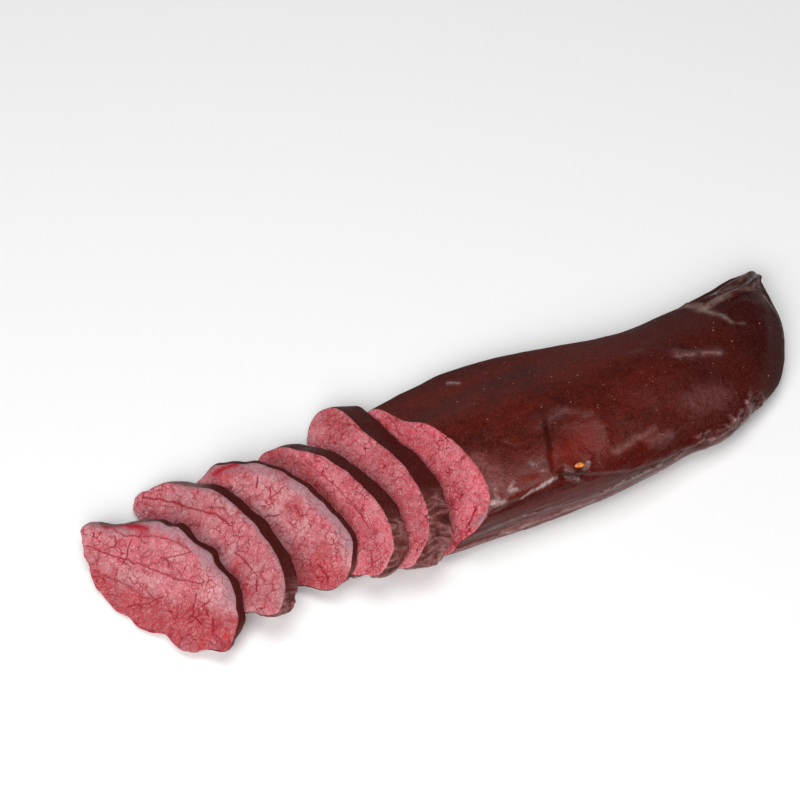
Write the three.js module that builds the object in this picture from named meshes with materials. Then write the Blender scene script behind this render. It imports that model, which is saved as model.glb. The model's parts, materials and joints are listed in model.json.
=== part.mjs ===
// A cured deer loin, partly sliced: the uncut loin with a slanted pink cut at its left end,
// and five loose slices that have slid over to the left, each leaning on the next.
// Millimetres, +Z up. The loin runs along X, its uncut end at +X, and the table is z = 0.

import * as THREE from 'three';

// ---------------------------------------------------------------- driving sizes

const loinWidth = 76;                 // across the loin, where it is cut
const cutHeight = 36;                 // of the pink face, along its slope
const cutTilt = 38.4;                 // degrees that the cut leans back from upright
const edgeRound = 0.4;                // softened edge between a pink face and the rind
const pointsAround = 48;              // vertices on every outline

// Share of the half width or half height that the outline reaches, each 30 degrees:
// thin far tip, sloping back, crown, square shoulder, near wall, heel, belly, under the tip.
const sectionReach = [1.06, 0.8, 0.9, 1.05, 1.19, 0.89, 0.72, 0.82, 0.88, 0.75, 0.83, 1.08];

// x, y: where the middle of the pink face stands on the table plan. tilt: lean back from
// upright. turn: about Z. roll: in its own plane. cut: thickness along the loin. bow: how far
// the middle hangs back. lobes: [order, size, phase in degrees] of the uneven outline.
const slices = {
  slice_1: {
    x: -96.2, y: 2, tilt: 60.5, turn: -23, roll: -6, cut: 4.5, bow: 0.8,
    lobes: [[2, 0.14, 91], [3, 0.115, 150], [4, 0.057, 38], [5, 0.032, 63], [6, 0.025, 88]],
  },
  slice_2: {
    x: -76.7, y: 7.5, tilt: 59.3, turn: -4, roll: -2, cut: 6.3, bow: 0.5,
    lobes: [[2, 0.04, 300], [3, 0.052, 136], [4, 0.08, 235], [5, 0.06, 153], [6, 0.015, 141]],
  },
  slice_3: {
    x: -53.6, y: 7.4, tilt: 54.5, turn: -23, roll: 3.5, cut: 3.3, bow: 0.7,
    lobes: [[3, 0.12, 150], [4, 0.02, 313], [5, 0.05, 170], [6, 0.035, 116]],
  },
  slice_4: {
    x: -37.3, y: 4, tilt: 52.8, turn: -2.7, roll: 1.6, cut: 6.9, bow: 0.5,
    lobes: [[2, 0.055, 244], [3, 0.034, 153], [4, 0.037, 174], [5, 0.02, 133], [6, 0.02, 203]],
  },
  slice_5: {
    x: -19.6, y: 6.5, tilt: 55, turn: 8, roll: 0.5, cut: 9.7, bow: 0.4,
    lobes: [[2, 0.15, 302], [3, 0.05, 154], [5, 0.033, 118]],
  },
};

// The uncut loin in plan, as its near and far edges, and its height, from the cut to the tip.
const nearEdge = [
  [-7.2, -26.8], [20, -28.3], [45, -29.6], [68, -28.8], [90, -24.8], [106, -24.8], [122, -18.4],
  [137, -11], [147.5, 3], [153, 15], [156, 29],
];
const farEdge = [
  [-10, 41], [20, 44.6], [42, 43], [62, 39.2], [80, 34.5], [97, 32.3], [110, 33], [122, 34.6],
  [136, 37.2], [148, 40], [156, 41.5],
];
const crownHeight = [27.2, 28, 27.8, 27, 26, 24.5, 23, 21, 18, 14, 9];
const rings = 44;                     // along the loin
const pressedShare = 0.05;            // lowest share of the height, pressed flat on the table
const lensPower = 1.75;               // roundness of the thin-edged section towards the tip
const lensFrom = 0.06;                // share of the length where the section starts to thin
const lensTo = 0.6;                   // and where it has thinned
const slantTo = 0.6;                  // share of the length where the cut's slant has faded

const rind = { color: 0x4b1e1a, roughness: 0.32 };
const meat = { color: 0xbf5b66, roughness: 0.55 };

const radians = THREE.MathUtils.degToRad;

// ---------------------------------------------------------------- outlines

// A smooth closed curve through the values, one for each equal step of the turn.
function around(values, turn) {
  const count = values.length;
  const place = ((turn % 1) + 1) % 1 * count;
  const index = Math.floor(place);
  const t = place - index;
  const [a, b, c, d] = [-1, 0, 1, 2].map((step) => values[(index + step + count) % count]);
  return b + 0.5 * t * (c - a + t * (2 * a - 5 * b + 4 * c - d + t * (3 * (b - c) + d - a)));
}

// The cut section in its own plane: v towards the far side, w up.
function sectionOutline(width, height, lobes, roll) {
  const points = [];
  for (let i = 0; i < pointsAround; i += 1) {
    const angle = (2 * Math.PI * i) / pointsAround;
    let reach = around(sectionReach, i / pointsAround);
    for (const [order, size, phase] of lobes) {
      reach *= 1 + size * Math.cos(order * angle - radians(phase));
    }
    const point = new THREE.Vector2(
      (width / 2) * reach * Math.cos(angle),
      (height / 2) * reach * Math.sin(angle),
    );
    points.push(point.rotateAround(new THREE.Vector2(), radians(roll)));
  }
  return points;
}

// ---------------------------------------------------------------- closed surfaces

// Joins rings of equal length into one closed body, with a middle point at either end.
function loft(ringList, firstMiddle, lastMiddle) {
  const size = ringList[0].length;
  const positions = [firstMiddle, ...ringList.flat(), lastMiddle];
  const last = positions.length - 1;
  const at = (ring, i) => 1 + ring * size + (i % size);
  const faces = [];
  for (let i = 0; i < size; i += 1) {
    faces.push(0, at(0, i + 1), at(0, i));
    for (let ring = 0; ring < ringList.length - 1; ring += 1) {
      faces.push(at(ring, i), at(ring, i + 1), at(ring + 1, i + 1));
      faces.push(at(ring, i), at(ring + 1, i + 1), at(ring + 1, i));
    }
    faces.push(last, at(ringList.length - 1, i), at(ringList.length - 1, i + 1));
  }
  const geometry = new THREE.BufferGeometry().setFromPoints(positions);
  geometry.setIndex(faces);
  geometry.computeVertexNormals();
  return geometry;
}

function pieceOf(name, geometry, finish) {
  const mesh = new THREE.Mesh(geometry, new THREE.MeshStandardMaterial({ ...finish, metalness: 0 }));
  mesh.name = name;
  return mesh;
}

// ---------------------------------------------------------------- slices

// Rings of a slice from the middle of its front face, over the rim, to the middle of its back:
// depth through the slice from 0 to 1, and how far the ring is drawn in.
const sliceRings = [
  { depth: 0, scale: 0.55 },
  { depth: 0, inset: edgeRound },
  { depth: 0.08, inset: 0.1 },
  { depth: 0.5, inset: 0 },
  { depth: 0.92, inset: 0.1 },
  { depth: 1, inset: edgeRound },
  { depth: 1, scale: 0.55 },
];

function slice(name, piece) {
  const tilt = radians(piece.tilt);
  const turn = radians(piece.turn);
  const across = new THREE.Vector3(Math.sin(turn), Math.cos(turn), 0);
  const up = new THREE.Vector3(
    Math.sin(tilt) * Math.cos(turn),
    -Math.sin(tilt) * Math.sin(turn),
    Math.cos(tilt),
  );
  const back = new THREE.Vector3().crossVectors(across, up);
  const grain = radians(piece.tilt - cutTilt);
  const through = new THREE.Vector3(
    Math.cos(grain) * Math.cos(turn),
    -Math.cos(grain) * Math.sin(turn),
    -Math.sin(grain),
  ).multiplyScalar(piece.cut);
  const outline = sectionOutline(loinWidth, cutHeight, piece.lobes, piece.roll);
  const place = (point, share, depth) => new THREE.Vector3()
    .addScaledVector(across, point.x * share)
    .addScaledVector(up, point.y * share)
    .addScaledVector(through, depth)
    .addScaledVector(back, piece.bow * (1 - share * share));
  const ringList = sliceRings.map(({ depth, scale, inset }) => outline.map(
    (point) => place(point, scale ?? 1 - inset / point.length(), depth),
  ));
  const ends = [0, 1].map((depth) => place(outline[0], 0, depth));
  const mesh = pieceOf(name, loft(ringList, ...ends), meat);
  mesh.geometry.computeBoundingBox();
  mesh.position.set(piece.x, piece.y, -mesh.geometry.boundingBox.min.z);
  return mesh;
}

// ---------------------------------------------------------------- uncut loin

// A smooth run through points in plan, for a share from 0 to 1 of the length.
function edgePoint(points, share) {
  return new THREE.SplineCurve(points.map(([x, y]) => new THREE.Vector2(x, y))).getPoint(share);
}

// The same for a run of single values.
function along(values, share) {
  return edgePoint(values.map((value) => [value, 0]), share).x;
}

// Height share of the thin-edged section: crown above, flatter belly below its edges.
const lens = { edge: 0.36, crown: 0.64, belly: 0.42 };

// The cut section as shares of its own width and height, from its near and lowest points.
function cutShares() {
  const outline = sectionOutline(loinWidth, cutHeight, [], 0);
  const box = new THREE.Box2().setFromPoints(outline);
  const span = box.getSize(new THREE.Vector2());
  return outline.map((point) => point.clone().sub(box.min).divide(span));
}

// The same shares for a lens with a thin edge on both sides.
function lensShares() {
  return Array.from({ length: pointsAround }, (_, i) => {
    const angle = (2 * Math.PI * i) / pointsAround;
    const [c, s] = [Math.cos(angle), Math.sin(angle)];
    const reach = (Math.abs(c) ** lensPower + Math.abs(s) ** lensPower) ** (-1 / lensPower);
    const up = lens.edge + (s > 0 ? lens.crown : lens.belly) * reach * s;
    return new THREE.Vector2(0.5 + 0.5 * reach * c, up);
  });
}

function loin() {
  const [cut, thinned] = [cutShares(), lensShares()];
  const { smoothstep } = THREE.MathUtils;
  const ringList = [];
  for (let ring = 0; ring < rings; ring += 1) {
    const share = ring / (rings - 1);
    const near = edgePoint(nearEdge, share);
    const far = edgePoint(farEdge, share);
    const crown = along(crownHeight, share);
    const thin = smoothstep(share, lensFrom, lensTo);
    const slant = Math.tan(radians(cutTilt)) * (1 - smoothstep(share, 0, slantTo));
    ringList.push(cut.map((point, i) => {
      const [acrossShare, upShare] = point.clone().lerp(thinned[i], thin);
      const plan = near.clone().lerp(far, acrossShare);
      const height = (crown * Math.max(0, upShare - pressedShare)) / (1 - pressedShare);
      return new THREE.Vector3(plan.x + slant * height, plan.y, height);
    }));
  }
  const middles = [ringList[0], ringList.at(-1)].map((ring) => ring
    .reduce((sum, point) => sum.add(point), new THREE.Vector3())
    .divideScalar(ring.length));
  return pieceOf('loin', loft(ringList, ...middles), rind);
}

// ---------------------------------------------------------------- assembly

const part = new THREE.Group();
part.add(loin());
for (const [name, piece] of Object.entries(slices)) {
  part.add(slice(name, piece));
}
const size = new THREE.Box3().setFromObject(part);
const centre = size.getCenter(new THREE.Vector3());
part.position.set(-centre.x, -centre.y, -size.min.z);

export default part;
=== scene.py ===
import json
import math
import random

import bpy
import numpy as np
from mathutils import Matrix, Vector, noise

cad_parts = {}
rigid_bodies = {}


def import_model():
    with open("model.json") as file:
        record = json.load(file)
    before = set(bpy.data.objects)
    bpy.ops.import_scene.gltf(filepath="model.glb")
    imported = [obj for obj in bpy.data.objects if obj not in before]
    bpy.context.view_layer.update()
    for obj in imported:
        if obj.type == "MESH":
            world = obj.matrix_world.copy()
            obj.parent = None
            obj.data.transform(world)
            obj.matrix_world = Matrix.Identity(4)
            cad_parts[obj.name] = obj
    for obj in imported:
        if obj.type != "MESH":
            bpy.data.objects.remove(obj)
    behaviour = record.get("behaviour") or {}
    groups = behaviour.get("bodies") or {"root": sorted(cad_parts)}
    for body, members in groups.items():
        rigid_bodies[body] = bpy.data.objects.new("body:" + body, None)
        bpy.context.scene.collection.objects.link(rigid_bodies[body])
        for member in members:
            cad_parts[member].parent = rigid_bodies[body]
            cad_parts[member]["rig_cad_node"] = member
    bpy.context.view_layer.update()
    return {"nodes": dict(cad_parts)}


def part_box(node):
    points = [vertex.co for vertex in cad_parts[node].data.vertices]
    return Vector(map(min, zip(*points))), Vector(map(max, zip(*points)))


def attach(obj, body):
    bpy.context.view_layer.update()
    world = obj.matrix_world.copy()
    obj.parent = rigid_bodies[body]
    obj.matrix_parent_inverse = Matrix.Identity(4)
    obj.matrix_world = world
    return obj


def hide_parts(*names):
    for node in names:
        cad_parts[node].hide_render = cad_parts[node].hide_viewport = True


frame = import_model()
mm = 0.001               # sizes and places below are in millimetres
coarse = 1
sharpEdge = 38           # degrees; an edge of a CAD node that is sharper stays creased


# small tools

def pickOnly(piece):
    bpy.ops.object.select_all(action="DESELECT")
    piece.select_set(True)
    bpy.context.view_layer.objects.active = piece


def applied(piece, kind, **settings):
    # adds a modifier and applies it
    pickOnly(piece)
    bpy.ops.object.modifier_add(type=kind)
    modifier = piece.modifiers[-1]
    for name, value in settings.items():
        setattr(modifier, name, value)
    bpy.ops.object.modifier_apply(modifier=modifier.name)


def copyOfNode(nodeName, pieceName):
    # a copy of a CAD node, merged, with its sharp edges creased
    pickOnly(frame["nodes"][nodeName])
    bpy.ops.object.duplicate()
    piece = bpy.context.active_object
    piece.name = piece.data.name = pieceName
    piece.parent = None
    del piece["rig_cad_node"]
    piece.data.materials.clear()
    bpy.ops.mesh.customdata_custom_splitnormals_clear()
    bpy.ops.object.mode_set(mode="EDIT")
    bpy.ops.mesh.select_all(action="SELECT")
    bpy.ops.mesh.remove_doubles(threshold=0.01 * mm)
    bpy.ops.mesh.normals_make_consistent(inside=False)
    bpy.ops.mesh.select_all(action="DESELECT")
    bpy.ops.mesh.edges_select_sharp(sharpness=math.radians(sharpEdge))
    bpy.ops.transform.edge_crease(value=1)
    bpy.ops.object.mode_set(mode="OBJECT")
    return piece


def finerMesh(piece, rounds, voxel):
    # rounds off the copy and gives it even small faces
    applied(piece, "SUBSURF", levels=rounds, render_levels=rounds)
    applied(piece, "REMESH", mode="VOXEL", voxel_size=voxel * mm * coarse)
    applied(piece, "SMOOTH", factor=0.5, iterations=3)


def readPoints(piece):
    flat = np.empty(len(piece.data.vertices) * 3)
    piece.data.vertices.foreach_get("co", flat)
    return flat.reshape(-1, 3) / mm


def readNormals(piece):
    flat = np.empty(len(piece.data.vertices) * 3)
    piece.data.vertex_normals.foreach_get("vector", flat)
    return flat.reshape(-1, 3)


def writePoints(piece, points):
    piece.data.vertices.foreach_set("co", (points * mm).ravel())
    piece.data.update()


def writeShare(piece, name, values):
    # a value from 0 to 1 at every vertex, for the materials
    layer = piece.data.attributes.new(name, "FLOAT", "POINT")
    layer.data.foreach_set("value", np.clip(values, 0, 1).astype(np.float32))


def spread(piece, values, rounds):
    # each value averaged with its neighbours', so that a border runs smoothly
    ends = np.empty(len(piece.data.edges) * 2, np.int32)
    piece.data.edges.foreach_get("vertices", ends)
    first, second = ends.reshape(-1, 2).T
    count = np.bincount(ends, minlength=len(values)) + 1
    for _ in range(rounds):
        total = values + np.bincount(first, values[second], len(values))
        values = (total + np.bincount(second, values[first], len(values))) / count
    return values


def soften(piece, weights, rounds):
    # evens out the surface where the weights are high
    points = readPoints(piece)
    for _ in range(rounds):
        even = np.stack([spread(piece, points[:, k], 1) for k in range(3)], axis=1)
        points += weights[:, None] * (even - points)
    writePoints(piece, points)


def smooth(values, low, high):
    # 0 at low, 1 at high, with a soft start and end
    t = np.clip((values - low) / (high - low), 0, 1)
    return t * t * (3 - 2 * t)


rippleStep = np.array([7.3, 3.1, 5.7])    # how far a pattern moves on from one seed to the next
bundleStep = np.array([4.7, 9.2, 2.9])


def ripple(points, size, seed, stretch=(1, 1, 1)):
    # smooth unevenness from about -1 to 1, with bumps of that size
    places = points / (size * np.array(stretch)) + rippleStep * seed
    return np.array([noise.noise(place) for place in places.tolist()])


def ridged(points, size, seed, stretch=(1, 1, 1)):
    # sharp crests at 1, wide hollows round 0
    return 1 - 2.2 * np.abs(ripple(points, size, seed, stretch))


def swollen(points, swells, seed, stretch=(1, 1, 1)):
    # several ripples, each with its size and height in mm
    waves = [height * ripple(points, size, seed + k, stretch) for k, (size, height) in enumerate(swells)]
    return sum(waves)


def wander(points, size, reach, seed):
    # the same points, each pushed a little sideways
    pushes = [ripple(points, size, seed + k) for k in range(points.shape[1])]
    return points + reach * np.stack(pushes, axis=1)


def bundleGaps(points, size, seed):
    # distance in mm to the nearest gap between muscle bundles of that size
    places = points / size + bundleStep * seed
    found = [noise.voronoi(place)[0] for place in places.tolist()]
    return np.array([(second - first) * size / 2 for first, second, _, _ in found])


def offStretches(points, line):
    # for each straight stretch of a line: its direction, the way from it to each point, and
    # the square of that distance
    for start, end in zip(line, line[1:]):
        start, run = np.array(start, float), np.array(end, float) - np.array(start, float)
        along = np.clip((points - start) @ run / (run @ run), 0, 1)
        gap = points - start - along[:, None] * run
        yield run / np.linalg.norm(run), gap, (gap * gap).sum(axis=1)


def offLine(points, line):
    # distance in mm to a line through a few points
    best = np.full(len(points), np.inf)
    for _, _, squared in offStretches(points, line):
        best = np.minimum(best, squared)
    return np.sqrt(best)


def stroke(points, line, width):
    # 1 on the line, 0 from about two widths off it
    if len(line) == 1:
        return np.exp(-((points - np.array(line[0])) ** 2).sum(axis=1) / width ** 2)
    return np.exp(-(offLine(points, line) / width) ** 2)


def strokes(points, marks):
    # the strongest of several marks, each a line, its width and its strength
    amount = np.zeros(len(points))
    for line, width, strength in marks:
        amount = np.maximum(amount, strength * stroke(points, line, width))
    return amount


creaseDepth = 0.5        # of a fold's foot, as a share of its height
creaseWidth = 2.5        # of a fold's foot, times its drop
foldEnds = 6             # mm squared; the higher, the softer a fold ends


def fold(points, normals, line, height, reach, drop):
    # the skin stands up on the left of the line, and drops off on its right over a few drops
    best = np.full(len(points), np.inf)
    aside = np.zeros(len(points))
    for direction, gap, squared in offStretches(points, line):
        left = np.cross(normals, direction)
        closer = squared < best
        best = np.where(closer, squared, best)
        aside = np.where(closer, (gap * left).sum(axis=1), aside)
    beside = np.exp(-np.maximum(best - aside ** 2, 0) / foldEnds)
    side = 1 / (1 + np.exp(-aside / drop))
    raised = side * np.exp(-(np.maximum(aside, 0) / reach) ** 2)
    pressed = (1 - side) * np.exp(-(aside / (creaseWidth * drop)) ** 2)
    return height * (raised - creaseDepth * pressed) * beside


def leaningAxes(lean, turn):
    # across a cut face, up its slope, and out of it
    lean, turn = math.radians(lean), math.radians(turn)
    across = np.array([math.sin(turn), math.cos(turn), 0])
    up = np.array([math.sin(lean) * math.cos(turn), -math.sin(lean) * math.sin(turn), math.cos(lean)])
    return across, up, np.cross(up, across)


# tools for the finishes

def paint(red, green, blue):
    # a colour as read off a screen, 0 to 255
    shares = [value / 255 for value in (red, green, blue)]
    return (*[s / 12.92 if s <= 0.04045 else ((s + 0.055) / 1.055) ** 2.4 for s in shares], 1)


def addNode(tree, kind, inputs=None, **settings):
    node = tree.nodes.new(kind)
    for name, value in settings.items():
        setattr(node, name, value)
    for socket, value in (inputs or {}).items():
        if isinstance(value, bpy.types.NodeSocket):
            tree.links.new(value, node.inputs[socket])
        else:
            node.inputs[socket].default_value = value
    return node


def newFinish(name):
    material = bpy.data.materials.new(name)
    material.use_nodes = True
    tree = material.node_tree
    return material, tree, tree.nodes["Principled BSDF"]


def inMillimetres(tree):
    place = addNode(tree, "ShaderNodeTexCoord").outputs["Object"]
    scale = (1 / mm,) * 3
    return addNode(tree, "ShaderNodeMapping", {"Vector": place, "Scale": scale}).outputs["Vector"]


def mottle(tree, place, size, detail=3.0, rough=0.55):
    inputs = {"Vector": place, "Scale": 1 / size, "Detail": detail, "Roughness": rough}
    return addNode(tree, "ShaderNodeTexNoise", inputs).outputs["Fac"]


def cells(tree, place, size):
    # distance to the border between cells of that size
    inputs = {"Vector": place, "Scale": 1 / size}
    node = addNode(tree, "ShaderNodeTexVoronoi", inputs, feature="DISTANCE_TO_EDGE")
    return node.outputs["Distance"]


def share(tree, value, low, high):
    # 0 where the value is low, 1 where it is high
    inputs = {"Value": value, "From Min": low, "From Max": high}
    return addNode(tree, "ShaderNodeMapRange", inputs, interpolation_type="SMOOTHSTEP").outputs["Result"]


def times(tree, first, second):
    return addNode(tree, "ShaderNodeMath", {0: first, 1: second}, operation="MULTIPLY").outputs[0]


def plus(tree, first, second):
    return addNode(tree, "ShaderNodeMath", {0: first, 1: second}, operation="ADD").outputs[0]


def greater(tree, first, second):
    return addNode(tree, "ShaderNodeMath", {0: first, 1: second}, operation="MAXIMUM").outputs[0]


def blend(tree, amount, first, second):
    inputs = {0: amount, 6: first, 7: second}
    return addNode(tree, "ShaderNodeMix", inputs, data_type="RGBA").outputs[2]


def blendValue(tree, amount, first, second):
    inputs = {0: amount, 2: first, 3: second}
    return addNode(tree, "ShaderNodeMix", inputs, data_type="FLOAT").outputs[0]


def painted(tree, name):
    # what writeShare wrote under that name
    return addNode(tree, "ShaderNodeAttribute", attribute_name=name).outputs["Fac"]


def pushedAside(tree, place, size, reach):
    # the same places, each pushed a little sideways
    drift = addNode(tree, "ShaderNodeTexNoise", {"Vector": place, "Scale": 1 / size, "Detail": 2.0})
    inputs = {0: drift.outputs["Color"], 1: (2 * reach,) * 3}
    push = addNode(tree, "ShaderNodeVectorMath", inputs, operation="MULTIPLY").outputs[0]
    return addNode(tree, "ShaderNodeVectorMath", {0: place, 1: push}, operation="ADD").outputs[0]


def layered(tree, colour, layers, patterns, paints):
    # lays each colour over the last, where its pattern is within the range that is given
    for name, span, strength, paintName in layers:
        amount = patterns[name]
        if span:
            amount = share(tree, amount, *span)
        if strength < 1:
            amount = times(tree, amount, strength)
        colour = blend(tree, amount, colour, paint(*paints[paintName]))
    return colour


# the finish of the cut meat and of the rind

meatLook = {
    "paints": {
        "pink": (202, 103, 114),
        "pale": (206, 143, 149),      # drier
        "fresh": (234, 96, 112),      # painted light: a brighter pink on faces that lean away from the lamps
        "rose": (172, 56, 62),        # moist and redder
        "deep": (138, 30, 38),
        "wet": (150, 20, 38),
        "gap": (134, 10, 32),         # between the muscle bundles
        "frost": (152, 122, 130),     # the dry band along the crest
        "white": (208, 176, 180),     # dry grains
        "ember": (186, 44, 34),
    },
    "layers": [                       # pattern, its range, strength, colour; the first is lowest
        ("broad", (0.4, 0.62), 1, "pale"),
        ("fresh", None, 0.8, "fresh"),
        ("middle", (0.48, 0.7), 0.42, "rose"),
        ("rosy", None, 0.9, "rose"),
        ("deep", None, 0.55, "deep"),
        ("grains", None, 1, "white"),
        ("frost", None, 0.92, "frost"),
        ("fine", (0.56, 0.68), 0.35, "white"),
        ("seams", None, 0.2, "deep"),
        ("fine", (0.46, 0.34), 0.3, "rose"),
        ("lines", None, 1, "gap"),
        ("gap", None, 1, "gap"),
        ("wet", None, 1, "wet"),
        ("red", None, 1, "ember"),
    ],
    "broad": 9, "middle": 2.6, "patches": 6,          # mm, sizes of the mottling
    "bundle": 3.6, "strand": 1.5, "grain": 0.6,       # mm across
    "pushes": [(4, 1.6), (1.3, 0.5)],                 # size and reach of the bundles' wandering
    "dryRough": 0.6, "wetRough": 0.38,
}
rindLook = {
    "paints": {
        "dusk": (65, 18, 12),
        "brown": (83, 22, 13),
        "dark": (49, 10, 7),
        "red": (108, 25, 17),
        "maroon": (67, 7, 2),         # the smooth rim of a slice
        # a pale film on the rind, partly painted sheen on ridges and folds and partly painted reflection of
        # the table low on the near wall
        "filmAndSheen": (142, 96, 95),
        "sinew": (118, 95, 89),
        "paintedGlint": (196, 172, 168),     # painted highlight: thin light lines on creases, ridges and edges
    },
    "layers": [
        ("broad", (0.3, 0.55), 1, "brown"),
        ("spots", (0.52, 0.68), 0.5, "red"),
        ("spots", (0.46, 0.3), 0.65, "dark"),
        ("middle", (0.5, 0.75), 0.35, "red"),
        ("middle", (0.45, 0.3), 0.3, "dark"),
        ("red", None, 1, "red"),
        ("maroon", None, 1, "maroon"),
        ("dark", None, 0.85, "dark"),
        ("filmAndSheen", None, 1, "filmAndSheen"),
        ("fine", (0.52, 0.7), 0.16, "filmAndSheen"),
        ("fine", (0.46, 0.3), 0.4, "dark"),
        ("sinew", None, 1, "sinew"),
        ("paintedGlint", None, 1, "paintedGlint"),
    ],
    "broad": 22, "middle": 5, "spots": 1.7, "broken": 1.3,    # mm, sizes of the mottling
    "rough": (0.22, 0.42), "dryRough": 0.85, "moistRough": 0.14,
}
loinSpecular = 0.25
bumpStrength, bumpDepth = 0.7, 0.2    # share, and mm
fineSize = 0.55                       # mm, the finest mottling


def meatFinish(tree, place, fine):
    # colour, roughness and relief of the cut meat
    look = meatLook
    patterns = {name: painted(tree, name) for name in ("fresh", "rosy", "frost", "gap", "wet", "red")}
    rosy, frost = patterns["rosy"], patterns["frost"]
    middle = mottle(tree, place, look["middle"], 4, 0.6)
    pushed = place
    for size, reach in look["pushes"]:
        pushed = pushedAside(tree, pushed, size, reach)
    bundles = share(tree, cells(tree, pushed, look["bundle"]), 0.05, 0.012)
    strands = share(tree, cells(tree, pushed, look["strand"]), 0.1, 0.02)
    seams = share(tree, cells(tree, pushed, look["grain"]), 0.2, 0.04)
    grains = addNode(tree, "ShaderNodeTexVoronoi", {"Vector": pushed, "Scale": 1 / look["grain"]})
    # the gaps come and go, and are faint under the frost
    here = share(tree, mottle(tree, place, look["patches"], 2), 0.36, 0.64)
    bundles = times(tree, bundles, blendValue(tree, here, 0.2, 0.95))
    strands = times(tree, strands, blendValue(tree, share(tree, middle, 0.38, 0.62), 0.1, 0.5))
    lines = times(tree, greater(tree, bundles, strands), blendValue(tree, frost, 1, 0.35))
    light = share(tree, grains.outputs["Color"], 0.45, 0.8)
    patterns.update({
        "fine": fine, "middle": middle, "broad": mottle(tree, place, look["broad"], 3),
        "deep": times(tree, rosy, share(tree, middle, 0.5, 0.72)),
        "grains": times(tree, light, blendValue(tree, rosy, 0.42, 0.2)),
        "seams": seams, "lines": lines,
    })
    colour = layered(tree, paint(*look["paints"]["pink"]), look["layers"], patterns, look["paints"])
    relief = plus(tree, times(tree, lines, -0.45), times(tree, seams, -0.35))
    height = plus(tree, plus(tree, fine, times(tree, middle, 1.2)), relief)
    wet = greater(tree, rosy, patterns["wet"])
    return colour, blendValue(tree, wet, look["dryRough"], look["wetRough"]), height


def rindFinish(tree, place, fine):
    # colour, roughness and relief of the rind
    look = rindLook
    names = ("red", "maroon", "dark", "filmAndSheen", "sinew", "paintedGlint", "dry", "moist")
    patterns = {name: painted(tree, name) for name in names}
    middle = mottle(tree, place, look["middle"], 5, 0.65)
    patterns.update({
        "fine": fine, "middle": middle, "broad": mottle(tree, place, look["broad"], 4),
        "spots": mottle(tree, place, look["spots"], 3, 0.6),
    })
    # the pale film with its painted sheen, the sinews and the painted highlights are broken up
    tatters = share(tree, mottle(tree, place, look["broken"], 4, 0.7), 0.38, 0.6)
    broken = blendValue(tree, tatters, 0.4, 1)
    worn = share(tree, middle, 0.25, 0.5)
    patterns["filmAndSheen"] = times(tree, times(tree, patterns["filmAndSheen"], broken), worn)
    patterns["sinew"] = times(tree, patterns["sinew"], worn)
    torn = share(tree, middle, 0.35, 0.5)
    patterns["paintedGlint"] = times(tree, times(tree, patterns["paintedGlint"], broken), torn)
    colour = layered(tree, paint(*look["paints"]["dusk"]), look["layers"], patterns, look["paints"])
    rough = blendValue(tree, share(tree, middle, 0.35, 0.7), *look["rough"])
    rough = blendValue(tree, patterns["dry"], rough, look["dryRough"])
    rough = blendValue(tree, patterns["moist"], rough, look["moistRough"])
    height = plus(tree, times(tree, fine, 0.8), times(tree, middle, 2.2))
    return colour, rough, height


def makeCuredLoin():
    # pink meat where a piece is cut, rind all round it
    material, tree, shader = newFinish("curedLoin")
    place = inMillimetres(tree)
    fine = mottle(tree, place, fineSize, 2, 0.6)
    cut = share(tree, painted(tree, "cut"), 0.42, 0.58)
    meat, rind = meatFinish(tree, place, fine), rindFinish(tree, place, fine)
    tree.links.new(blend(tree, cut, rind[0], meat[0]), shader.inputs["Base Color"])
    tree.links.new(blendValue(tree, cut, rind[1], meat[1]), shader.inputs["Roughness"])
    shader.inputs["Specular IOR Level"].default_value = loinSpecular
    height = blendValue(tree, cut, rind[2], meat[2])
    inputs = {"Height": height, "Strength": bumpStrength, "Distance": bumpDepth * mm}
    bump = addNode(tree, "ShaderNodeBump", inputs)
    tree.links.new(bump.outputs["Normal"], shader.inputs["Normal"])
    return material


curedLoin = makeCuredLoin()
print("finish made")


# cut faces

cutLook = {
    "swells": [(16, 0.35), (4, 0.12), (1.3, 0.05)],   # size and height of the muscle relief
    "gapDepth": 0.16,                 # mm
    # the gaps: mm across a bundle, half width and darkness of a gap, size and reach of its wandering,
    # size and borders of the areas that show it, and what is added to the face's seed for each
    "nets": [
        {"size": 6.5, "width": 0.2, "dark": 0.65, "wander": (4, 1.3), "area": (7, -0.1, 0.35),
         "seeds": (0, 0, 9)},
        {"size": 2.6, "width": 0.17, "dark": 0.38, "wander": (2, 0.5), "area": (3, -0.05, 0.4),
         "seeds": (5, 2, 12)},
    ],
    "crackWidth": 0.7, "crackDark": 1.25,             # times what each crack's own row says
    "frostEdge": [(4, 1.2), (1.5, 0.5)],              # size and reach of its ragged edge
    "frostPatch": (5, 0.25), "rosyPatch": (14, 0.5),  # size and strength
    "tearing": (2.2, 0.5), "redsDrift": (5, 1.5),     # size and reach of their wandering
    "steps": [(9, 1), (5, 0.3)],      # size of the outline's steps, and their share of the wave
    "stepsReach": 5,                  # mm in from the rim
    "sectors": 120,                   # points on the outline
    "layering": 0.15,                 # share of the depth that changes the pattern
}


def faceOutline(flat, facing):
    # the outermost point of the rim in each direction, as a closed line
    rim = flat[np.abs(facing) < 0.5]
    turn = np.arctan2(rim[:, 1], rim[:, 0]) / (2 * math.pi) + 0.5
    sector = (turn * cutLook["sectors"]).astype(int) % cutLook["sectors"]
    outline = []
    for k in range(cutLook["sectors"]):
        group = rim[sector == k]
        if len(group) > 0:
            outline.append(group[np.argmax((group ** 2).sum(axis=1))])
    return outline + outline[:1]


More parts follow.
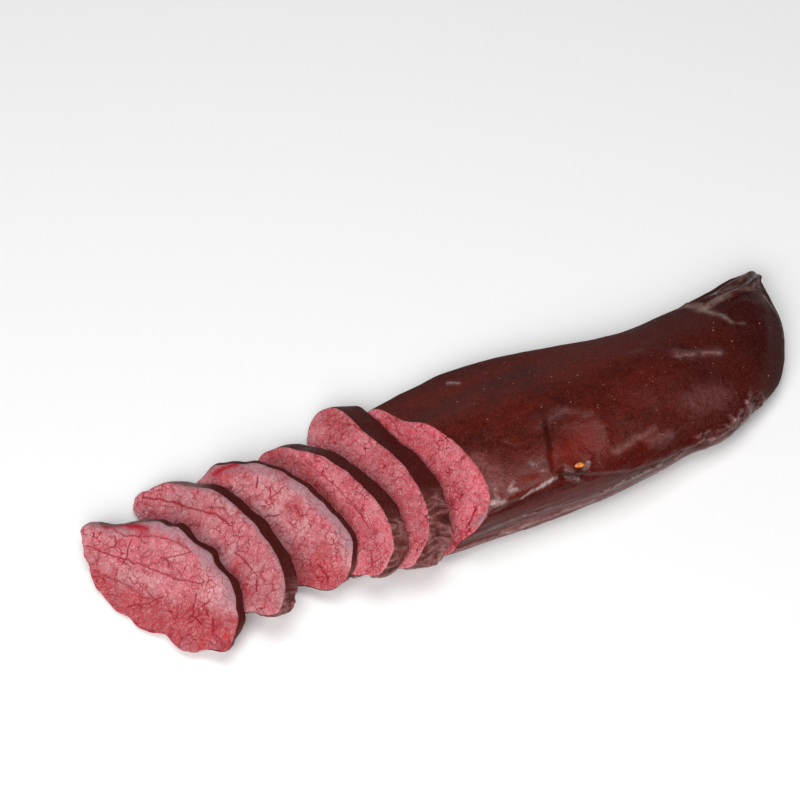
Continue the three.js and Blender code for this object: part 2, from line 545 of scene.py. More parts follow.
def waveOutline(face, flat, fromRim):
    # the outline isn't smooth: how far each point steps in or out, in mm
    wave, seed = face.get("wave", 0), face["seed"]
    inPlane = np.column_stack([flat, np.zeros(len(flat))])
    (size, part), (smallSize, smallPart) = cutLook["steps"]
    lower = 0.4 + 0.6 * smooth(-flat[:, 1], -2, 6)    # more of it on the lower side
    step = wave * part * lower * ripple(inPlane, size, seed + 15)
    step += wave * smallPart * ripple(inPlane, smallSize, seed + 16)
    step *= np.exp(-(fromRim / cutLook["stepsReach"]) ** 2)
    for place, width, depth in face.get("trims", []):
        step -= depth * stroke(flat, [place], width)
    outward = flat / np.maximum(np.linalg.norm(flat, axis=1), 1)[:, None]
    return outward * step[:, None]


def gapShare(face, inPlane, torn, front):
    # the gaps between the bundles, and the cracks that can be told apart
    gap = np.zeros(len(inPlane))
    for net in cutLook["nets"]:
        wanderSeed, bundleSeed, areaSeed = [face["seed"] + step for step in net["seeds"]]
        area, low, high = net["area"]
        away = bundleGaps(wander(inPlane, *net["wander"], wanderSeed), net["size"], bundleSeed)
        shown = smooth(ripple(inPlane, area, areaSeed), low, high)
        gap = np.maximum(gap, np.exp(-(away / net["width"]) ** 2) * net["dark"] * shown)
    for line, width, dark in face["cracks"]:
        crack = stroke(torn, line, cutLook["crackWidth"] * width) * front
        gap = np.maximum(gap, np.minimum(crack * dark * cutLook["crackDark"], 1))
    return gap


def frostShare(face, flat, inPlane, fromRim):
    # the dry band along the crest, with a ragged edge, and faint dry patches
    seed, crest, band = face["seed"], face["crest"], face["band"]
    patch, strength = cutLook["frostPatch"]
    upSlope = flat[:, 1] - 0.25 * np.maximum(-flat[:, 0], 0)
    ragged = fromRim - swollen(inPlane, cutLook["frostEdge"], seed + 31)
    frost = smooth(ragged, 1.5 * band, 0.6 * band) * smooth(upSlope, crest - 12, crest - 5)
    return np.maximum(frost, strength * smooth(ripple(inPlane, patch, seed + 30), 0, 0.6))


def rosyShare(face, inPlane, front):
    # redder areas: a few at random, the lower part of a slice, and the marked ones
    patch, strength = cutLook["rosyPatch"]
    loose = wander(inPlane, *cutLook["redsDrift"], face["seed"] + 50)[:, :2]
    rosy = strength * smooth(ripple(inPlane, patch, face["seed"] + 40), 0, 0.6)
    if "redBelow" in face:
        across, level = np.array(face["redBelow"], float).T
        below = np.interp(loose[:, 0], across, level) - loose[:, 1]
        rosy = np.maximum(rosy, smooth(below, -2, 3) * front)
    return np.maximum(rosy, strokes(loose, face["reds"]))


def dressFace(piece, face, lean, turn, middle):
    # muscle relief, cracks and colour on the pink faces of one piece
    across, up, out = leaningAxes(lean, turn)
    normals = readNormals(piece)
    facing = spread(piece, normals @ out, 6)
    front = facing > 0
    soften(piece, np.exp(-((np.abs(facing) - 0.5) / 0.35) ** 2), face.get("softened", 3))
    offset = readPoints(piece) - middle
    depth = offset @ out
    onFace = smooth(np.abs(facing), 0.45, 0.95) * (np.abs(depth) < face.get("deepest", np.inf))
    flat = np.stack([offset @ across, offset @ up], axis=1)
    inPlane = np.column_stack([flat, depth * cutLook["layering"]])
    fromRim = offLine(flat, faceOutline(flat, facing))
    step = waveOutline(face, flat, fromRim)
    offset = offset + step @ np.stack([across, up])
    torn = wander(inPlane, *cutLook["tearing"], face["seed"] + 20)[:, :2]
    gap = gapShare(face, inPlane, torn, front)
    frost = frostShare(face, flat + step, inPlane, fromRim)
    lift = swollen(inPlane, cutLook["swells"], face["seed"] + 60) - cutLook["gapDepth"] * gap
    lift *= onFace * smooth(fromRim, 0.1, 1.2)
    writePoints(piece, middle + offset + normals * lift[:, None])
    writeShare(piece, "wet", strokes(torn, face.get("wets", [])) * front)
    writeShare(piece, "gap", gap * onFace)
    writeShare(piece, "frost", frost * (1 - 0.7 * gap))
    writeShare(piece, "rosy", rosyShare(face, inPlane, front))
    # painted light, a brighter pink on faces that lean away from the lamps
    writeShare(piece, "fresh", np.full(len(offset), face.get("fresh", 0)))
    return onFace


def finishPiece(piece, nodeName, onFace, shares):
    # writes what the material reads, and hands the piece to the frame
    for name in ("red", "dark", "maroon", "filmAndSheen", "sinew", "paintedGlint", "dry", "moist"):
        writeShare(piece, name, shares.get(name, np.zeros(len(onFace))))
    writeShare(piece, "cut", onFace)
    piece.data.materials.append(curedLoin)
    pickOnly(piece)
    bpy.ops.object.shade_smooth()
    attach(piece, "root")
    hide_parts(nodeName)
    print(piece.name, "made:", len(piece.data.polygons), "faces")


# the slices; places are in mm from the middle of a slice, across it and up its slope

slices = {
    "slice_1": {
        "lean": 60.5, "turn": -23,    # degrees
        "seed": 1,
        "crest": 8, "band": 4.6,      # mm, where the frosted band lies and how wide it is
        "wave": 3.8,                  # mm that the outline steps in and out
        "filmFrom": -31,              # mm across; the rim is filmed from there to the near end
        "filmBeyond": 15,             # and from there to the far end
        "bareBelow": 3,               # mm up the slope; the rim below it has no rind
        "redBelow": [(-35, 6), (-22, 2), (-13, -1), (-3, -6), (3, -9), (24, -11), (34, -12)],
        "cracks": [                   # line, width, darkness
            ([(32, -7.4), (28, -6.1), (24, -5.2), (18.6, -3.4), (13.5, -2.1), (7.5, -0.2), (0.3, 1.3),
              (-4, 2.5), (-9.2, 4.7), (-13, 6.4)], 0.4, 0.8),
            ([(27, 3), (21.7, 3.1), (16, 6.8), (10.3, 10.2), (3.7, 12.5), (-2.2, 12.7)], 0.4, 0.7),
            ([(18.4, 3.6), (16.4, -2), (15.9, -4.5)], 0.35, 1),
            ([(23.9, 1.7), (22, -1.5), (24.9, -4.4)], 0.35, 0.9),
            ([(5.4, 4.9), (2.8, 7), (-0.9, 10.6), (-2.7, 12.6)], 0.35, 0.8),
            ([(24.4, -11.9), (17.2, -10.8), (8.9, -9), (3.2, -9.6), (-0.6, -7.9)], 0.4, 0.6),
            ([(4.3, -5.4), (2.4, -7.1), (-0.7, -7.5), (-3.1, -7.5)], 0.35, 0.8),
            ([(4.9, -14.9), (-0.2, -9.8), (-3.3, -4.9)], 0.4, 0.9),
            ([(-13, 2.4), (-15.9, -3.8)], 0.4, 1),
            ([(-15.5, -4.5), (-17.8, -3.7), (-20.5, -4.4)], 0.4, 1),
            ([(-16.8, -6.2), (-17.8, -3.7), (-18.8, -1.6)], 0.4, 1),
            ([(-23.2, -0.6), (-26.4, -4.5)], 0.5, 0.9),
        ],
        "reds": [                     # line, width, strength, and the same for the wets
            ([(26, -12), (14, -15), (2, -13), (-8, -9), (-18, -4), (-28, -4)], 6, 1),
            ([(20, 8), (15, 8.6)], 2, 1),
        ],
        "wets": [
            ([(29.5, 2.2), (27.6, 4), (25, 5.6), (22, 7.1), (19.4, 8.3), (15.8, 9.7)], 1.5, 1),
        ],
        "embers": [([(-31, -2.7)], 0.9, 1), ([(22.5, -15.5)], 0.8, 1)],
    },
    "slice_2": {
        "lean": 59.3, "turn": -4, "seed": 2, "crest": 8, "band": 3.4, "wave": 2,
        "filmFrom": -27, "filmBeyond": 20,
        "cracks": [
            ([(34, -13), (26.8, -6.4), (14, 2), (8.8, 5.8), (4.6, 7.3), (2.3, 7.7)], 0.5, 0.8),
            ([(-8.2, 4.1), (-13, 5.7), (-17.8, 5.9)], 0.4, 0.8),
            ([(-21.8, 5.6), (-25.6, 3.2)], 0.4, 0.9),
        ],
        "reds": [([(24, -4), (10, 5)], 3, 0.6), ([(-14, 2), (-28, 0)], 4, 0.8)],
    },
    "slice_3": {
        "lean": 54.5, "turn": -23, "seed": 3, "crest": 9, "band": 4, "wave": 2,
        "filmFrom": -29,
        "redBelow": [(-32, 4), (-20, -1), (-5, -6), (30, -6)],
        "cracks": [
            ([(14.8, 10.4), (12.9, 7)], 0.4, 0.9),
            ([(8.6, 10.2), (6.8, 6.9), (5.2, 9.9)], 0.4, 0.8),
            ([(4.6, 0.5), (0.1, 4.6)], 0.4, 0.8),
            ([(-21.9, -1.5), (-27.8, -3.3), (-28.5, -4.9)], 0.5, 1),
        ],
        "reds": [
            ([(28, 3), (22, 10)], 4, 1),
            ([(-1, 9.5), (-5, 8.8)], 3, 0.9),
            ([(-20, 2), (-30, -6)], 6, 1),
        ],
        "wets": [([(29.6, 2.2), (27.9, 5.8), (24.5, 9.6)], 1.2, 1)],
    },
    "slice_4": {
        "lean": 52.8, "turn": -2.7, "seed": 4, "crest": 9, "band": 2.2, "wave": 2,
        "filmFrom": -17,
        "fresh": 0.6,                 # how much painted light brightens its face
        "trims": [((-30, -12), 7, 4)],    # place, width, depth: the near corner is cut back
        "cracks": [([(20, 2), (4, 6), (-8, 8), (-19, 8)], 0.4, 0.6)],
        "reds": [
            ([(31, -8), (20, 0), (1.4, 2.1), (-9.3, 4.8)], 3, 0.9),
            ([(-10, 6), (-32, 4)], 5, 0.6),
        ],
    },
    "slice_5": {
        "lean": 55, "turn": 8, "seed": 5, "crest": 10, "band": 2, "wave": 1.8,
        "filmFrom": -12,
        "fresh": 0.4,
        "cracks": [([(30, -4), (24, 2), (20, 4)], 0.4, 0.7)],
        "reds": [([(34, -8), (27, -3)], 5, 1), ([(10, 6), (-30, 9)], 5, 0.6)],
    },
}
sliceRim = {
    "voxel": 0.32,                    # mm between vertices
    "swells": [(9, 0.3), (2.5, 0.06)],    # size and height of the unevenness
    "filmFades": 8,                   # mm over which the smooth rind turns into wrinkled film
    "wrinkle": (3, 0.7, 4), "crease": (1.2, 0.5, 5),    # mm across, height, times longer
    "sunk": 0.4,                      # mm that the hollows between the wrinkles go in
    "tuck": 1.8,                      # mm that the near end draws in at its back, low down
    # where that starts and where it is full: across, through the slice, and above the table
    "tuckAcross": (-20, -32), "tuckThrough": (0.5, -3), "tuckBelow": (13, 4),
}


def wrinkledFilm(points, seed):
    # wrinkles that are drawn out along the loin, high at 1 and low under 0
    drawn = wander(points, 6, 2, seed + 5)
    size, height, longer = sliceRim["wrinkle"]
    wrinkles = height * ridged(drawn, size, seed + 2, (longer, 1, 1))
    size, height, longer = sliceRim["crease"]
    return wrinkles + height * ripple(drawn, size, seed + 3, (longer, 1, 1))


def makeSlice(nodeName, face):
    piece = copyOfNode(nodeName, nodeName + "_meat")
    finerMesh(piece, 2, sliceRim["voxel"])
    low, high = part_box(nodeName)
    middle = (np.array(low) + np.array(high)) / 2 / mm
    onFace = dressFace(piece, face, face["lean"], face["turn"], middle)
    # the rind round the rim is smooth and maroon, and a wrinkled film towards the near end
    points, normals = readPoints(piece), readNormals(piece)
    across, up, out = leaningAxes(face["lean"], face["turn"])
    aside, depth = (points - middle) @ across, (points - middle) @ out
    filmed = smooth(aside, face["filmFrom"], face["filmFrom"] - sliceRim["filmFades"])
    seed = face["seed"] + 70
    wrinkles = wrinkledFilm(points, seed)
    lift = swollen(points, sliceRim["swells"], seed) + filmed * (wrinkles - sliceRim["sunk"])
    points += normals * (lift * (1 - onFace))[:, None]
    tucked = smooth(aside, *sliceRim["tuckAcross"]) * smooth(depth, *sliceRim["tuckThrough"])
    tucked *= sliceRim["tuck"] * smooth(points[:, 2], *sliceRim["tuckBelow"])
    points += across * tucked[:, None]
    points[:, 2] = np.maximum(points[:, 2], 0)
    writePoints(piece, points)
    upSlope = (points - middle) @ up
    # the film is lighter on the wrinkles' crests, a painted highlight, and low by the table, a painted
    # reflection; the dark in the hollows between the wrinkles is painted shade
    light = np.maximum(smooth(wrinkles, 0.2, 0.75), 0.8 * smooth(points[:, 2], 6, 3))
    shares = {
        "maroon": 1 - 0.85 * filmed,
        "filmAndSheen": filmed * (0.25 + 0.7 * light),
        "dark": 0.9 * filmed * smooth(wrinkles, 0.15, -0.2),
        "dry": 0.5 * (1 - filmed),
        "red": strokes(np.column_stack([aside, upSlope]), face.get("embers", [])),
    }
    if "filmBeyond" in face:
        beyond = smooth(aside, face["filmBeyond"], face["filmBeyond"] + 5)
        shares["filmAndSheen"] = np.maximum(shares["filmAndSheen"], 0.9 * beyond)
        shares["maroon"] *= 1 - beyond
    if "bareBelow" in face:
        rindless = smooth(upSlope, face["bareBelow"], face["bareBelow"] - 3) * smooth(aside, -30, -27)
        onFace = np.maximum(onFace, rindless)
    finishPiece(piece, nodeName, onFace, shares)


for sliceName, sliceFace in slices.items():
    makeSlice(sliceName, sliceFace)


# the uncut loin; places are in mm in the shared frame

lip = [(-4.8, -34.7, 22.8), (1.1, -34.4, 23.6), (10.8, -34, 24.4), (20, -33.6, 24.9)]
loinLook = {
    "voxel": 0.65,
    "lean": 38.4, "turn": -2.4,       # degrees, of its cut face
    "cutEndsAt": 22,                  # mm that the cut reaches along the loin
    "swells": [(30, 0.8), (13, 0.5), (6, 0.22), (2.6, 0.07)],    # size and height of the unevenness
    "folds": [                        # line, height, reach, drop: the skin stands up on its left
        (lip + [(26, -35, 24), (34, -36.6, 21.8), (45, -37, 17.6), (58.8, -35.5, 14), (74, -33, 11.4)],
         1.5, 4, 0.35),
        ([(17.4, -29.5, 26.9), (20.6, -21.8, 27.9), (22.6, -16.5, 27.9), (24.2, -11.3, 27.6)], 1, 6, 0.5),
        ([(23, -14.5, 27.8), (28, -11.8, 27.6), (33, -12, 27.5), (38, -15.5, 27.7)], 0.7, 4.5, 1.2),
        ([(40, -14, 27.5), (38.5, -21, 27.3), (36, -28, 26.4)], 0.35, 6, 1.5),
        ([(79, -7.5, 24.6), (88, -8.5, 23.5), (98, -10, 22)], 0.5, 3.5, 0.7),
        ([(100.5, 20.5, 15.3), (102.8, 17.5, 16.8), (104.3, 13.4, 18.7), (111.4, 15.8, 17.6),
          (119, 15.6, 17.2), (126.8, 18.2, 15.2), (134, 22.3, 10.3)], 1.7, 3, 0.45),
        ([(106, 18.4, 16.4), (111.9, 18.7, 16.3), (117.9, 21, 15), (123.3, 22.8, 13.8), (129, 24.6, 12.2),
          (133.3, 26.8, 9.9)], 1.4, 2.4, 0.4),
        ([(105, 24, 12), (114, 24, 12.3), (124, 27, 10)], 0.7, 2.5, 0.5),
        ([(57, 19, 16.5), (66, 18, 16.5), (74, 13, 19)], 0.4, 4, 1.2),
        ([(-6, 12, 21.5), (0, 11, 22.5), (5, 14, 21)], 0.4, 3, 1),
    ],
    "lip": lip,                       # the moist edge of the first fold
    "grooves": [                      # line, width, depth
        ([(7.8, -13.7, 27.4), (9.5, -17.2, 27.6)], 1, 0.3), ([(-2, -4, 26), (0, -3, 26)], 1.2, 0.35),
        ([(20.6, -33.3, 25.3)], 1.8, 1.8), ([(27, -34.8, 24.2)], 1.4, 0.7),
        ([(70, 6.5, 23)], 3, 0.5), ([(65.1, 19.4, 15.5)], 3, 0.5), ([(58, 19.9, 15.9)], 3, 0.5),
        ([(21.2, 11.6, 22.6)], 3, 0.4), ([(1.1, -0.7, 25.6)], 3, 0.3),
        ([(30, -22, 27.4)], 7, 0.7),
    ],
    "ridges": [                       # line, width, height
        ([(3, -34.3, 23.9), (6.9, -34.2, 24.2), (12.7, -34, 24.7), (17.1, -33.4, 25.2)], 0.6, 0.6),
        ([(27.9, -33.4, 25.1), (31.5, -30.5, 25.7)], 1.2, 0.5),
        ([(41, -32.5, 24.8), (44.8, -31.8, 24.6), (49, -30.5, 24.6), (54.3, -29, 24.4),
          (58.4, -28.9, 23.5)], 1.4, 0.5),
        ([(55, -31.7, 22.5), (59.3, -31, 21.6), (62.7, -31, 20.1)], 2, 0.4),
        ([(45.6, -5.3, 26.6), (43.2, -13.1, 27.3), (41.9, -19.8, 27.5), (40.6, -26.4, 26.9)], 2.5, 0.35),
        ([(81, -2.5, 24.3), (86, -5.2, 24), (92.4, -7, 23), (95.9, -8.9, 22.1)], 1.1, 0.35),
        ([(102.8, 17.5, 16.8), (103.6, 12.8, 19.1), (105.8, 7.7, 20.6), (108.7, 2.8, 21)], 0.9, 0.4),
        ([(23.2, -35.2, 23.8), (25, -36.2, 22.7)], 1, 1),
    ],
    "threads": [                      # line, width and height of the ridge, width and strength of its painted highlight
        ([(3, -35.5, 8.4), (12.4, -36.1, 8.1), (21.8, -36.6, 8.8), (30.2, -37, 8.9)], (0.6, 0.4), (0.6, 0.4)),
        ([(-3.2, -36.5, 15.9), (5.7, -37, 15.7), (17.1, -37.4, 15.1)], (0.7, 0.35), (0.5, 0.3)),
        ([(32.7, -37.6, 12.8), (44.5, -37.5, 13.9), (57.4, -35.9, 12.3)], (0.6, 0.4), (0.7, 0.45)),
        ([(-4.5, -35.1, 8.4), (3, -35.8, 6.4), (11, -35.4, 4.5)], (0.6, 0.3), (0.6, 0.4)),
    ],
    "crumple": [(75.4, -32.6, 11.7), (81.2, -32.3, 12.7), (88.4, -31.2, 11.8), (92.7, -29.7, 11.1),
                (99, -25.7, 12.2), (103.3, -25.3, 9.3)],
    "crumpleWidth": 3, "crumpleHeight": 1.6, "crumpleSunk": 0.4,
    "streakHeight": 0.22,             # mm, on the near wall
    # where each begins and where it is full: as a share of facing that way, or in mm
    "wallFaces": (0.4, 0.85), "wallAlong": (108, 80),
    "steep": (0.88, 0.7), "tip": (100, 112), "farSide": (-2, 14),
    # colours on the rind, as line, width and strength
    "reds": [
        ([(24, -27, 27), (33, -25, 26.5)], 6, 1),
        ([(60, -10, 25), (75, -14, 24)], 9, 0.25),
        ([(-4, -16, 27), (-2, -27, 26.5)], 5, 0.6),
        ([(-4, -30, 26), (12, -31, 26.5)], 3, 0.6),
    ],
    "darks": [
        ([(108, 21, 15), (134, 26, 9.5)], 5, 1),
        # painted shade in the hollows by the sinew's fork
        ([(103.4, 21, 14), (103.6, 18.5, 16)], 1.6, 1),
        ([(114, 20.6, 15), (122, 24.6, 12.8)], 1.6, 1),
        # painted shade in the pit
        ([(20.6, -33.3, 25.3), (27, -34.8, 24.2)], 2, 1),
        ([(76, -27, 19), (98, -21, 17)], 7, 0.5),
        # painted shade in the crease's step and under the lip
        ([(20, -23, 28), (23, -14, 28)], 1.4, 0.8),
        ([(38, -38, 15), (60, -36, 11)], 4, 0.6),
        ([(-4, -36.2, 21.5), (10, -35.8, 22.8), (26, -36.5, 22)], 1.1, 0.9),
    ],
    # pale film, with painted sheen where it lies on ridges and folds
    "filmAndSheens": [
        ([(-4, -16, 27), (-2, -27, 26.5)], 3.5, 0.5),
        ([(81, -3, 24.3), (86, -5.2, 24), (96, -8, 22)], 2, 0.3),
        ([(25, -12, 27.7), (32, -9.8, 27.4)], 2.2, 0.3),
        ([(75.4, -23.9, 21.7), (88, -23.4, 19)], 5, 0.3),
        ([(41, -32.5, 24.8), (49, -30.5, 24.6), (58.4, -28.9, 23.5)], 1.2, 0.6),
        ([(55, -31.7, 22.5), (62.7, -31, 20.1)], 2, 0.4),
    ],
    "sinews": [
        ([(97, 23, 13.5), (100.5, 19.8, 15.6), (103.3, 14, 18.5)], 1.3, 0.9),
        ([(102.6, 16, 17.6), (104.7, 10.5, 19.9)], 1.7, 1),
        ([(104.7, 10.5, 19.9), (108.7, 2.8, 21)], 1, 1),
        ([(108.7, 2.8, 21), (113, 0.8, 20)], 0.5, 0.7),
        ([(104.3, 14, 18.6), (111.4, 16.3, 17.4), (115.2, 17.2, 16.9)], 1.3, 0.9),
        ([(115.2, 17.2, 16.9), (121.5, 16.9, 16.5), (127, 17.6, 15.4)], 0.9, 0.6),
        ([(110.2, 16.6, 17.3), (117, 19.3, 15.9), (126.3, 24.3, 12.7)], 0.6, 0.6),
        ([(111.9, 18.7, 16.3), (123.3, 22.8, 13.8), (133, 26.6, 10)], 0.5, 0.5),
    ],
    # painted highlights, as line, width and strength
    "paintedGlints": [
        ([(3, -34.3, 23.9), (9, -34.1, 24.4), (17.1, -33.4, 25.2)], 0.42, 1),
        ([(13.7, -28.9, 26.9)], 0.9, 0.9),
        ([(-7.8, -33, 24.3), (-3, -33.6, 24.2)], 0.7, 0.9),
        ([(-0.2, -31.6, 25.4), (2.4, -31.6, 25.5)], 0.6, 0.7),
        ([(27.9, -33.4, 25.1), (31.5, -30.5, 25.7)], 0.7, 0.6),
        ([(11, -25, 27.6), (12.5, -28, 27.2)], 0.5, 0.5),
        ([(24, -35.6, 23.6)], 0.7, 0.6),
        ([(129, 12.8, 14.4), (129.1, 7.1, 13), (129.4, 1.2, 9.6), (127.1, -4, 9.1)], 0.6, 0.6),
        ([(-4.4, -28.5, 26.3), (-4.3, -32.1, 24.9)], 0.6, 0.6),
        ([(2.8, -29.3, 26.4), (0.4, -31.2, 25.6)], 0.5, 0.7),
        ([(7, 27, 14.8), (9.5, 24.5, 15.6)], 0.7, 0.5),
        ([(80, -5, 24.3), (86, -6, 23.9), (92.4, -7.6, 23), (95.9, -9, 22.1)], 0.8, 0.2),
    ],
    "face": {
        # this cut face is brightened with painted light
        "seed": 6, "fresh": 0.8, "crest": 12, "band": 3,
        "deepest": 12,                # mm; farther in, nothing is cut meat
        "softened": 14,               # rounds of evening out its edge
        "cracks": [([(-29.5, 16.2), (-30.8, 12.6), (-31.8, 8.7)], 0.6, 0.9)],
        "reds": [([(20, 6), (0, 12), (-20, 13)], 4, 0.7), ([(-21, 9), (-22.4, 12.7)], 2, 0.9)],
    },
}


def refineCut(piece, look, out):
    # a finer mesh on the cut face
    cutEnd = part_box("loin")[0].x / mm + look["cutEndsAt"]
    pickOnly(piece)
    bpy.ops.object.mode_set(mode="EDIT")
    bpy.ops.mesh.select_all(action="DESELECT")
    bpy.ops.object.mode_set(mode="OBJECT")
    for polygon in piece.data.polygons:
        onCut = np.dot(polygon.normal, out) > 0.2 and polygon.center.x / mm < cutEnd
        polygon.select = bool(onCut)
    bpy.ops.object.mode_set(mode="EDIT")
    bpy.ops.mesh.subdivide(number_cuts=1)
    bpy.ops.object.mode_set(mode="OBJECT")


def crumpledCrests(points):
    # crests of the crumpled strip, from under 0 to 1
    large = ridged(wander(points, 3, 1, 93), 3.4, 95, (2, 1, 1))
    return 0.65 * large + 0.35 * ridged(points, 1.7, 96, (2, 1, 1))


def wallStreaks(points):
    # long thin streaks on the near wall
    return ripple(points, 1.6, 97, (14, 1, 1)) + 0.5 * ripple(points, 0.9, 98, (18, 1, 1))


def loinShares(look, points, normals, near, skin, crumpled, crests, wall, streaks):
    # how much of each colour lies where on the rind, and where it is dry or moist
    frayed = wander(near, 2, 0.5, 99)
    x, y, z = points.T
    steep, tip = smooth(normals[:, 2], *look["steep"]), smooth(x, *look["tip"])
    shares = {name: strokes(frayed, look[name + "s"]) for name in ("red", "dark", "filmAndSheen", "sinew", "paintedGlint")}
    threads = [(line, *paintedGlint) for line, _, paintedGlint in look["threads"]]
    # the far side is dry, and at the tip only what is steep
    shares["dry"] = np.maximum(smooth(y, *look["farSide"]) * np.maximum(steep, 1 - tip), steep * tip)
    shares["moist"] = np.maximum(0.8 * crumpled, 0.4 * stroke(near, look["lip"], 2.5))
    shares["red"] *= skin
    # on the upper near wall the maroon is painted shade under the lip; in the crumpled strip it is the rind's
    # own colour
    shares["maroon"] = np.maximum(0.7 * wall * smooth(z, 7, 14), 0.8 * crumpled)
    # a streaked pale film low on the near wall, partly painted reflection of the table, and in the crumpled
    # strip painted highlights on the crests and painted shade in the hollows
    low = smooth(z, 15, 5) * smooth(streaks, -0.2, 0.35)
    more = {
        # darker towards the right end; painted shade in the crumpled hollows and on the far side
        "dark": [0.6 * smooth(x, 50, 88) + 0.5 * tip, crumpled * smooth(crests, 0.4, 0),
                 0.7 * smooth(y, 22, 34)],
        "filmAndSheen": [wall * low, 0.8 * crumpled * smooth(crests, 0.5, 0.8)],
        "paintedGlint": [strokes(frayed, threads), 0.6 * crumpled * smooth(crests, 0.75, 0.95)],
    }
    for name, amounts in more.items():
        shares[name] = np.maximum.reduce([shares[name], *amounts])
    return shares


def makeLoin(look):
    piece = copyOfNode("loin", "loin_rind")
    finerMesh(piece, 3, look["voxel"])
    low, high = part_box("loin")
    middle = np.array([low.x, (low.y + high.y) / 2, (low.z + high.z) / 2]) / mm
    refineCut(piece, look, leaningAxes(look["lean"], look["turn"])[2])
    onFace = dressFace(piece, look["face"], look["lean"], look["turn"], middle)
    points, normals = readPoints(piece), readNormals(piece)
    skin = 1 - onFace
    lift = swollen(points, look["swells"], 80, (1.6, 1, 1))
    near = wander(points, 5, 0.8, 90)     # so that the lines on the skin waver
    for line, height, reach, drop in look["folds"]:
        lift += fold(near, normals, line, height, reach, drop)
    for line, width, height in look["ridges"] + [(line, *ridge) for line, ridge, _ in look["threads"]]:
        lift += height * stroke(near, line, width)
    for line, width, depth in look["grooves"]:
        lift -= depth * stroke(near, line, width)
    crumpled = stroke(near, look["crumple"], look["crumpleWidth"])
    crests = crumpledCrests(points)
    lift += crumpled * (look["crumpleHeight"] * crests - look["crumpleSunk"])
    # the near side is drawn out in streaks
    wall = smooth(-normals[:, 1], *look["wallFaces"]) * smooth(points[:, 0], *look["wallAlong"])
    streaks = wallStreaks(points)
    lift += look["streakHeight"] * streaks * wall
    lift *= skin * smooth(points[:, 2], 0, 2.5)
    points += normals * lift[:, None]
    points[:, 2] = np.maximum(points[:, 2], 0)
    writePoints(piece, points)
    shares = loinShares(look, points, normals, near, skin, crumpled, crests, wall, streaks)
    finishPiece(piece, "loin", onFace, shares)
    return piece


loinPiece = makeLoin(loinLook)


# spice left on the rind, and the amber drop beside the long fold

specks = {
    "count": 120, "small": 0.14, "large": 0.34,       # mm, radius
    "seed": 11,
    "tawny": (158, 76, 38), "pale": (172, 130, 104), "brown": (120, 52, 26),
    "roughness": 0.45,
}
amber = {
    "place": (26.6, -32.8, 25.6),
    "size": (2.4, 1.1, 0.8),          # mm, half its length, width and height
    "turn": -14, "tilt": 30,          # degrees
    "proud": 0.6,                     # mm above the skin
    "uneven": 0.25,
    "brown": (150, 62, 20), "orange": (226, 140, 40),
    "roughness": 0.3,
}


def makeSpeckPaint():
    material, tree, shader = newFinish("spice")
    place = inMillimetres(tree)
    pick = share(tree, mottle(tree, place, 3, 2), 0.42, 0.5)
    colour = blend(tree, pick, paint(*specks["tawny"]), paint(*specks["pale"]))
    colour = blend(tree, mottle(tree, place, 0.2, 2), colour, paint(*specks["brown"]))
    tree.links.new(colour, shader.inputs["Base Color"])
    shader.inputs["Roughness"].default_value = specks["roughness"]
    return material


def makeAmberPaint():
    material, tree, shader = newFinish("amber")
    place = inMillimetres(tree)
    cloud = share(tree, mottle(tree, place, 0.8, 3), 0.35, 0.65)
    colour = blend(tree, cloud, paint(*amber["brown"]), paint(*amber["orange"]))
    tree.links.new(colour, shader.inputs["Base Color"])
    shader.inputs["Roughness"].default_value = amber["roughness"]
    return material


def grain(place, size, turns):
    # one grain at its place
    location = np.array(place) * mm
    bpy.ops.mesh.primitive_ico_sphere_add(subdivisions=1, radius=mm, location=location, rotation=turns)
    bpy.context.active_object.scale = size
    return bpy.context.active_object


def joinedGrains(grains, name):
    bpy.ops.object.select_all(action="DESELECT")
    for one in grains:
        one.select_set(True)
    bpy.context.view_layer.objects.active = grains[0]
    if len(grains) > 1:
        bpy.ops.object.join()
    piece = bpy.context.active_object
    piece.name = piece.data.name = name
    bpy.ops.object.transform_apply(location=True, rotation=True, scale=True)
    return piece


def makeSpecks():
    chance = random.Random(specks["seed"])
    points, normals = readPoints(loinPiece), readNormals(loinPiece)
    # they lie on top, clear of the cut
    top = np.flatnonzero((normals[:, 2] > 0.5) & (points[:, 0] > 0) & (normals[:, 0] > -0.3))
    grains = []
    for _ in range(specks["count"]):
        place = points[top[chance.randrange(len(top))]]
        size = chance.uniform(specks["small"], specks["large"])
        shape = (size, size * chance.uniform(0.5, 1), size * chance.uniform(0.35, 0.7))
        turns = (chance.uniform(-0.4, 0.4), chance.uniform(-0.4, 0.4), chance.uniform(0, 6.3))
        grains.append(grain(place, shape, turns))
    piece = joinedGrains(grains, "spice_specks")
    piece.data.materials.append(makeSpeckPaint())
    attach(piece, "root")
    print("specks made:", len(grains))


def makeAmber():
    turns = (math.radians(amber["tilt"]), 0, math.radians(amber["turn"]))
    skin, normals = readPoints(loinPiece), readNormals(loinPiece)
    nearest = np.argmin(((skin - np.array(amber["place"])) ** 2).sum(axis=1))
    place = skin[nearest] + normals[nearest] * amber["proud"]
    piece = joinedGrains([grain(place, amber["size"], turns)], "amber_drop")
    applied(piece, "SUBSURF", levels=2, render_levels=2)
    points = readPoints(piece)
    fromMiddle = points - points.mean(axis=0)
    points += amber["uneven"] * fromMiddle * ripple(points, 0.9, 12)[:, None]
    writePoints(piece, points)
    piece.data.materials.append(makeAmberPaint())
    pickOnly(piece)
    bpy.ops.object.shade_smooth()
    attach(piece, "root")
    print("amber drop made")


makeSpecks()
makeAmber()


# the table, the lights and the camera

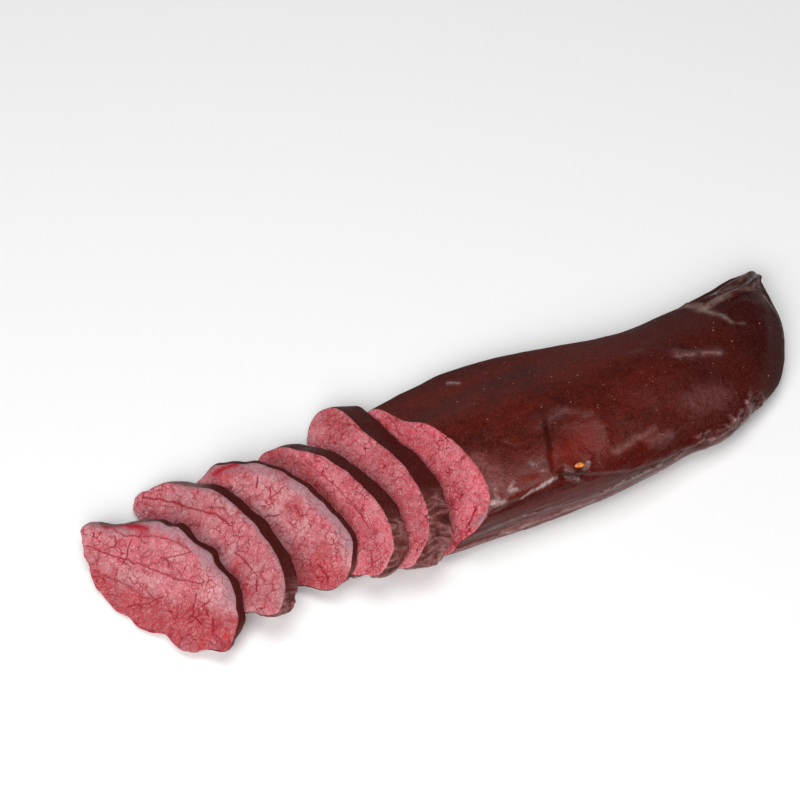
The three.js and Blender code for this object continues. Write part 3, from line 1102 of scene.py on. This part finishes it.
table = {
    "size": 6, "below": 0.0001,       # metres
    "white": 0.9, "roughness": 0.7,
}
lamps = {                             # place in mm, width, length, watts
    "softboxFront": ((-750, -850, 950), 1300, 900, 24),
    "softboxAbove": ((0, 0, 1400), 900, 900, 10),
}
dimRoom = 0.05           # grey of the surroundings
view = {
    "turn": -26, "height": 52,        # degrees round the object and above the table
    "target": (-7.04, 37.6, 0), "away": 900,
    "lens": 112.5, "sensor": 36,
    "clip": (0.05, 20),               # metres
}


def makeTable():
    bpy.ops.object.select_all(action="DESELECT")
    bpy.ops.mesh.primitive_plane_add(size=table["size"], location=(0, 0, -table["below"]))
    top = bpy.context.active_object
    top.name = "table"
    material, _, shader = newFinish("whiteTable")
    white = table["white"]
    shader.inputs["Base Color"].default_value = (white, white, white, 1)
    shader.inputs["Roughness"].default_value = table["roughness"]
    top.data.materials.append(material)


def makeLamps():
    aim = Vector((0, 0, 0))
    for name, (place, width, length, watts) in lamps.items():
        bpy.ops.object.light_add(type="AREA", location=Vector(place) * mm)
        lamp = bpy.context.active_object
        lamp.name = lamp.data.name = name
        lamp.data.shape = "RECTANGLE"
        lamp.data.size, lamp.data.size_y = width * mm, length * mm
        lamp.data.energy = watts
        lamp.rotation_euler = (aim - lamp.location).to_track_quat("-Z", "Y").to_euler()
    world = bpy.data.worlds.new("studio")
    world.use_nodes = True
    background = world.node_tree.nodes["Background"]
    background.inputs["Color"].default_value = (dimRoom, dimRoom, dimRoom, 1)
    bpy.context.scene.world = world


def makeCamera():
    turn, height = math.radians(view["turn"]), math.radians(view["height"])
    back = Vector((math.sin(turn) * math.cos(height), -math.cos(turn) * math.cos(height), math.sin(height)))
    target = Vector(view["target"]) * mm
    bpy.ops.object.camera_add(location=target + back * view["away"] * mm)
    camera = bpy.context.active_object
    camera.rotation_euler = (-back).to_track_quat("-Z", "Y").to_euler()
    camera.data.lens, camera.data.sensor_width = view["lens"], view["sensor"]
    camera.data.clip_start, camera.data.clip_end = view["clip"]
    bpy.context.scene.camera = camera


makeTable()
makeLamps()
makeCamera()
bpy.context.scene.view_settings.view_transform = "Standard"
print("table, lamps and camera made")
